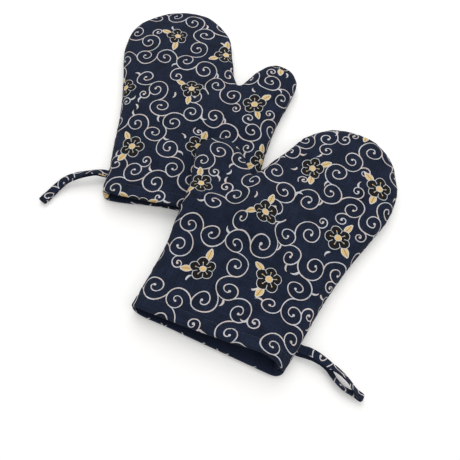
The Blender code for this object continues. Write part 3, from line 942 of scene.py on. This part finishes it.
def cloth_material(name, colour, roughness, sheen, spread, other=None):
    """Woven cotton: a plain weave, yarns of uneven colour and thickness, specks and faint blotches."""
    material, made = new_material(name, Roughness=roughness, Sheen_Weight=sheen, Sheen_Roughness=0.5,
                                  Specular_IOR_Level=0.15)
    uv = made.add("ShaderNodeUVMap", uv_map="flat_cloth").outputs[0]
    split = made.add("ShaderNodeSeparateXYZ", {"Vector": uv})
    across, down = (made.math("MULTIPLY", split.outputs[k], math.tau / THREAD_PITCH) for k in range(2))
    warp, weft = (made.math("ABSOLUTE", made.math("SINE", made.math("MULTIPLY", rate, 0.5)))
                  for rate in (across, down))
    over = made.math("MULTIPLY", made.math("SINE", across), made.math("SINE", down))
    crossing = made.math("ADD", made.math("MULTIPLY", warp, weft), made.math("MULTIPLY", over, 0.5))
    yarns = []
    for scales in (YARN_SCALES, YARN_SCALES[::-1]):
        stretched = made.add("ShaderNodeMapping", {"Vector": uv, "Scale": (*scales, 1.0)})
        yarns.append(made.noise(stretched.outputs[0], 1.0, 2.0))
    fine = made.math("ADD", made.noise(uv, BLOTCH_SCALE, 3.0), made.noise(uv, GRAIN_SCALE, 1.0))
    mixed = made.math("ADD", made.math("ADD", *yarns), fine)
    uneven = made.scaled(mixed, *NOISE_RANGE, 1 - spread, 1 + spread)
    tone = made.math("MULTIPLY", uneven, made.scaled(crossing, *WEAVE_RANGE, *WEAVE_TONES))
    ground = colour
    if other is not None:
        fade = made.add("ShaderNodeValToRGB", {"Fac": made.noise(uv, PATCH_SCALE, 2.0)})
        for element, place, ink in zip(fade.color_ramp.elements, FADE_RANGE, (colour, other)):
            element.position = place
            element.color = (*ink, 1.0)
        ground = fade.outputs[0]
    made.finish(ground, tone, WEAVE_BUMP, WEAVE_HEIGHT, crossing)
    return material


def plain_material(name, colour, roughness, scale, spread):
    """Wadding or thread: an uneven tone and a fine fibrous bump in object space."""
    material, made = new_material(name, Roughness=roughness, Sheen_Weight=0.2)
    fibres = made.noise(made.add("ShaderNodeTexCoord").outputs["Object"], scale, 4.0)
    tone = made.scaled(fibres, *FIBRE_RANGE, 1 - spread, 1 + spread)
    made.finish(colour, tone, FIBRE_BUMP, FIBRE_HEIGHT, fibres)
    return material


INKS = [
    cloth_material("navy_cotton", linear(26, 34, 52), 0.95, 0.03, NAVY_SPREAD),
    cloth_material("cream_print", linear(208, 196, 191), 0.95, 0.0, 0.28, linear(200, 201, 206)),
    cloth_material("black_print", linear(24, 24, 27), 0.9, 0.05, 0.15),
    cloth_material("white_print", linear(214, 214, 214), 0.9, 0.05, 0.1),
    cloth_material("gold_print", linear(219, 188, 130), 0.8, 0.05, 0.15),
]
LINING_COTTON = cloth_material("lining_cotton", linear(27, 35, 54), 0.95, 0.04, 0.45)
WADDING = plain_material("wadding", linear(226, 224, 216), 0.95, 900.0, 0.08)
THREAD = plain_material("sewing_thread", linear(40, 46, 66), 0.7, 2500.0, 0.2)


# Stitches
STITCH = 0.0026
STITCH_PITCH = 0.0032
STITCH_RADIUS = 0.00024
STITCH_SUNK = 0.3
STITCH_SIDES = 6
STITCH_PROFILE = [(-0.5, 0.35), (-0.38, 0.9), (0.0, 1.0), (0.38, 0.9), (0.5, 0.35)]
HEM_LINE_POINTS = 140
SEAM_STITCH_IN = 0.0022
SEAM_STITCH_FROM = 0.003


def add_stitches(name, lines, body, node):
    """Rows of short stitches laid along lines, as one piece that stands for a thread."""
    verts, faces = [], []
    shares, widths = np.array(STITCH_PROFILE).T
    turns = np.arange(STITCH_SIDES)[:, None] * math.tau / STITCH_SIDES
    for line in lines:
        places = lengths_along(line)
        for k in range(int(places[-1] / STITCH_PITCH)):
            where = (k + 0.5) * STITCH_PITCH + STITCH * shares
            centres = np.column_stack([np.interp(where, places, column) for column in line.T])
            along = unit(centres[-1] - centres[0])
            side = unit(np.cross(along, (0.0, 0.0, 1.0)))
            out = side * np.cos(turns) + np.cross(side, along) * np.sin(turns)
            rings = len(verts) + np.arange(len(shares) * STITCH_SIDES).reshape(-1, STITCH_SIDES)
            for centre, width in zip(centres, widths):
                verts += (centre + out * STITCH_RADIUS * width).tolist()
            for a, b in zip(rings, rings[1:]):
                faces += [[a[c - 1], a[c], b[c], b[c - 1]] for c in range(STITCH_SIDES)]
            faces += [rings[0][::-1], rings[-1]]
    mesh = bpy.data.meshes.new(name)
    mesh.from_pydata(verts, [], [[int(v) for v in face] for face in faces])
    close_up(mesh)
    mesh.materials.append(THREAD)
    mesh.shade_smooth()
    obj = show(name, mesh)
    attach(obj, body)
    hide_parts(node)


def hem_line(mitt, half):
    """The hem's stitching on one half, just sunk in the cloth."""
    reach = CUFF_WIDTH / 2 + wrap(half)[0]
    flat = pairs(np.linspace(-reach, reach, HEM_LINE_POINTS), HEM_STITCH_AT)
    return mitt.surface(half, flat, STITCH_RADIUS * STITCH_SUNK)


def seam_line(mitt):
    """The side seam's stitching, inside the seam."""
    plan = (EDGE + INWARD * SEAM_STITCH_IN)[EDGE[:, 1] > SEAM_STITCH_FROM]
    return mitt.at(1, plan[:, 0], plan[:, 1], np.zeros(len(plan)), 0.0)


# Hanging loops
STRAP_FLAT = LOOP_WIDTH - STRAP
STRAP_GIRTH = 2 * (STRAP_FLAT + math.pi * STRAP / 2)
STRAP_PAD = 0.00018
STRAP_ROWS = 21
STRAP_STEP = 0.0014
LOOP_ROOT_DEPTH = 0.004
FOLD_TURNS = (45, 90, 135)
LOOP_BEND = (-0.001, 0.01)


def loop_sections(mitt, loop):
    """Centre, width direction and outward direction of the strap's sections, in the mitt's frame."""
    i = int(np.argmax(EDGE[:, 1] > LOOP_AT))
    a, b = Vector(EDGE[i - 1]), Vector(EDGE[i])
    place = a.lerp(b, (LOOP_AT - a.y) / (b.y - a.y))
    run = (b - a).normalized()
    outward = Vector((-run.y, run.x))
    root = place + outward * LOOP_ROOT_GAP
    aside = Vector((-outward.y, outward.x))
    side = mitt.thumb_side
    centres = []
    for along, across, height, _, _ in loop["shares"]:
        plan = root + (outward * along + aside * across) * LOOP_LENGTH * loop["stretch"]
        centres.append(Vector((plan.x * side, plan.y, height * PALM_DEPTH)))
    out_of_seam = Vector((outward.x * side, outward.y, 0.0))
    stations = []
    for i, (share, _, _, gaps, roll) in enumerate(loop["shares"]):
        run = (centres[min(i + 1, len(centres) - 1)] - centres[max(i - 1, 0)]).normalized()
        if i == 0:
            run = out_of_seam
        level = Vector((0.0, 0.0, 1.0)).cross(run).normalized() * side
        over = run.cross(level).normalized() * side
        angle = math.radians(roll)
        width = level * math.cos(angle) - over * math.sin(angle)
        part = over * math.cos(angle) + level * math.sin(angle)
        half_gap = gaps * STRAP_GAP / 2
        reach = abs(width.z) * LOOP_WIDTH / 2 + abs(part.z) * (half_gap + STRAP)
        centre = centres[i].copy()
        centre.z = max(centre.z, reach + TABLE_CLEARANCE)
        apart = width * float(loop["splay"] * smooth(1.0 - share / SPLAY_RUN))
        stations.append((centre, width, part, half_gap, apart))

    def leg(sign):
        """The sections of one leg of the strap, from inside the seam to the fold."""
        found = []
        for centre, width, part, half_gap, apart in stations:
            part = part * sign
            at = centre - apart * sign
            if not found:
                inside = at - out_of_seam * LOOP_ROOT_DEPTH
                found.append((inside + part * (half_gap * 0.5 + STRAP / 2), width, part))
            found.append((at + part * (half_gap + STRAP / 2), width, part))
        return found

    centre, width, part, half_gap, _ = stations[-1]
    run = (centre - stations[-2][0]).normalized()
    fold = []
    for turn in FOLD_TURNS:
        angle = math.radians(turn)
        turned = part * math.cos(angle) + run * math.sin(angle)
        fold.append((centre + turned * (half_gap + STRAP / 2), width, turned))
    centre, _, part, half_gap, _ = stations[0]
    return leg(1) + fold + leg(-1)[::-1], centre + part * (half_gap + STRAP)


def strap_points(sections, places, flat):
    """Places in the mitt's frame of points of the strap's flat cloth: along it, and round it."""
    k = np.clip(np.searchsorted(places, flat[:, 0]) - 1, 0, len(places) - 2)
    span = (places[k + 1] - places[k])[:, None]
    t = (flat[:, 0] - places[k])[:, None] / span

    def read(column):
        values = np.array([section[column][:] for section in sections])
        slopes = np.gradient(values, places, axis=0)
        return hermite(values[k], slopes[k] * span, values[k + 1], slopes[k + 1] * span, t)

    centre, width, out = (read(column) for column in range(3))
    s = np.mod(flat[:, 1], STRAP_GIRTH)
    face = np.where(s < STRAP_GIRTH / 2, 1.0, -1.0)
    s = np.mod(s, STRAP_GIRTH / 2)
    angle = np.clip((s - STRAP_FLAT) / (STRAP / 2), 0.0, None)
    across = face * (STRAP_FLAT / 2 - np.minimum(s, STRAP_FLAT) - np.sin(angle) * STRAP / 2)
    outward = face * np.cos(angle) * STRAP / 2
    outward += np.sign(outward) * STRAP_PAD * np.cos(across / STRAP_FLAT * math.pi)
    return centre + unit(width) * across[:, None] + unit(out) * outward[:, None]


def add_loop(mitt, loop, shapes):
    """A hanging loop of printed strap, from where it leaves the seam."""
    sections, hinge = loop_sections(mitt, loop)
    places = lengths_along(np.array([section[0][:] for section in sections]))
    length = places[-1]
    rows = np.linspace(0, STRAP_GIRTH, STRAP_ROWS)
    columns = np.linspace(0, length, int(length / STRAP_STEP))
    inner = np.array([(u, v) for u in columns[1:-1] for v in rows[1:-1]])
    for _ in range(2):
        border = np.vstack([
            pairs(columns, 0.0), pairs(length, rows[1:-1]),
            pairs(columns[::-1], STRAP_GIRTH), pairs(0.0, rows[1:-1][::-1]),
        ])
        flat, triangles, ink_of, _ = cut_cloth(border, inner, shapes)
        at_seam = (flat[:, 1] < 1e-6) | (flat[:, 1] > STRAP_GIRTH - 1e-6)
        columns = np.unique(np.round(flat[at_seam, 0], 6))
    points = mitt.placed(strap_points(sections, places, flat))
    name = f"{mitt.name}_hanging_loop_strap"
    mesh = cloth_mesh(name, points, triangles, flat, ink_of, INKS)
    close_up(mesh)
    shade(mesh, STRAP_SHARP_FROM)
    obj = show(name, mesh)
    outward = (sections[1][0] - sections[0][0]).normalized()
    bend = mitt.placed(np.array([(hinge + outward * step)[:] for step in LOOP_BEND])).tolist()
    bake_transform(obj)
    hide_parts(f"{mitt.name}_hanging_loop")


# Building the pair
LAYERS = {
    "shell": (0.0, CLOTH, LIP - SHELL_ROLL * LIP, GRID, INKS),
    "batting": (BATTING_FROM, BATTING_TO, LIP + BATTING_SET_BACK, LINING_GRID, [WADDING]),
    "lining": (LINING_FROM, LINING_TO, LIP - LINING_ROLL * LIP, LINING_GRID, [LINING_COTTON]),
}


def add_mitt(mitt, loop, field, layouts):
    """All pieces of one mitt."""
    for half, side in ((-1, "palm"), (1, "back")):
        shell, size, area = add_layer(mitt, half, "shell", laid(field, *layouts[side]))
        batting, _, _ = add_layer(mitt, half, "batting")
        lining, inner_size, inner_area = add_layer(mitt, half, "lining")
    hem = [hem_line(mitt, 1), hem_line(mitt, -1)]
    add_stitches(f"{mitt.name}_hem_stitches", hem, mitt.name, f"{mitt.name}_hem_thread")
    add_stitches(f"{mitt.name}_seam_stitches", [seam_line(mitt)], mitt.name, f"{mitt.name}_seam_thread")
    add_loop(mitt, loop, laid(field, *layouts["loop"]))


# Camera, table and light
CAMERA_AT = (0.0093, -0.2809, 0.464)
LOOKS_DOWN = 65
FOCAL_PIXELS = 500
FRAME_PIXELS = 460
SENSOR = 36.0
FLOOR_REACH = 3.0
FLOOR_LEVEL = -0.0004
FLOOR_COLOUR = (0.9, 0.895, 0.88, 1.0)
FLOOR_GLOW = 0.17
ROOM_LIGHT = 0.58


def add_camera():
    """The photograph's view: from the front, looking down."""
    data = bpy.data.cameras.new("camera")
    data.sensor_width = SENSOR
    data.lens = FOCAL_PIXELS / FRAME_PIXELS * SENSOR
    camera = show("camera", data)
    camera.location = CAMERA_AT
    camera.rotation_euler = (math.radians(90 - LOOKS_DOWN), 0.0, 0.0)
    bpy.context.scene.camera = camera


def add_floor():
    """A plain white table top that keeps the shadows."""
    signs = ((-1, -1), (1, -1), (1, 1), (-1, 1))
    corners = [(x * FLOOR_REACH, y * FLOOR_REACH, FLOOR_LEVEL) for x, y in signs]
    mesh = bpy.data.meshes.new("floor")
    mesh.from_pydata(corners, [], [(0, 1, 2, 3)])
    floor = show("floor", mesh)
    material, made = new_material("floor_white", Base_Color=FLOOR_COLOUR, Roughness=0.9,
                                  Specular_IOR_Level=0.1)
    seen = made.add("ShaderNodeLightPath").outputs["Is Camera Ray"]
    glow = made.add("ShaderNodeEmission", {"Strength": made.math("MULTIPLY", seen, FLOOR_GLOW)})
    total = made.add("ShaderNodeAddShader", {0: made.shader.outputs[0], 1: glow.outputs[0]})
    made.put(made.tree.nodes["Material Output"].inputs["Surface"], total.outputs[0])
    mesh.materials.append(material)


def add_lamp(name, place, size, power):
    """A round soft light that points at the middle of the mitts."""
    data = bpy.data.lights.new(name, "AREA")
    data.shape = "DISK"
    data.size = size
    data.energy = power
    lamp = show(name, data)
    lamp.location = place
    lamp.rotation_euler = (-Vector(place)).to_track_quat("-Z", "Y").to_euler()


def add_room():
    """A white world behind the scene, which lights it less than it shows."""
    world = bpy.data.worlds.new("white_room")
    bpy.context.scene.world = world
    world.use_nodes = True
    made = Nodes(world.node_tree)
    around = made.tree.nodes["Background"]
    made.put(around.inputs["Color"], (1.0, 1.0, 1.0, 1.0))
    made.put(around.inputs["Strength"], ROOM_LIGHT)
    shown = made.add("ShaderNodeBackground", {"Strength": 1.0})
    seen = made.add("ShaderNodeLightPath").outputs["Is Camera Ray"]
    mix = made.add("ShaderNodeMixShader", {0: seen, 1: around.outputs[0], 2: shown.outputs[0]})
    made.put(made.tree.nodes["World Output"].inputs["Surface"], mix.outputs[0])


back_mitt = Mitt("back_mitt", BACK_AT, BACK_TURN, 1, BACK_MOUTH, BACK_NUDGES, 11)
front_mitt = Mitt("front_mitt", FRONT_AT, FRONT_TURN, -1, FRONT_MOUTH, FRONT_NUDGES, 47, under=back_mitt)
field = draw_field(5)
add_mitt(back_mitt, BACK_LOOP, field,
         {"palm": (1.6, (0.0, 0.13)), "back": (0.0, (-0.012, 0.135)), "loop": (0.4, (-0.06, 0.0))})
add_mitt(front_mitt, FRONT_LOOP, field,
         {"palm": (4.2, (0.0, 0.14)), "back": (3.1, (-0.01, 0.14)), "loop": (1.0, (0.07, 0.05))})
add_camera()
add_floor()
add_lamp("key_light", (0.02, 0.9, 1.3), 1.6, 12.5)
add_lamp("fill_light", (0.9, -0.5, 1.3), 1.3, 5.0)
add_room()
bpy.context.scene.view_settings.view_transform = "Standard"
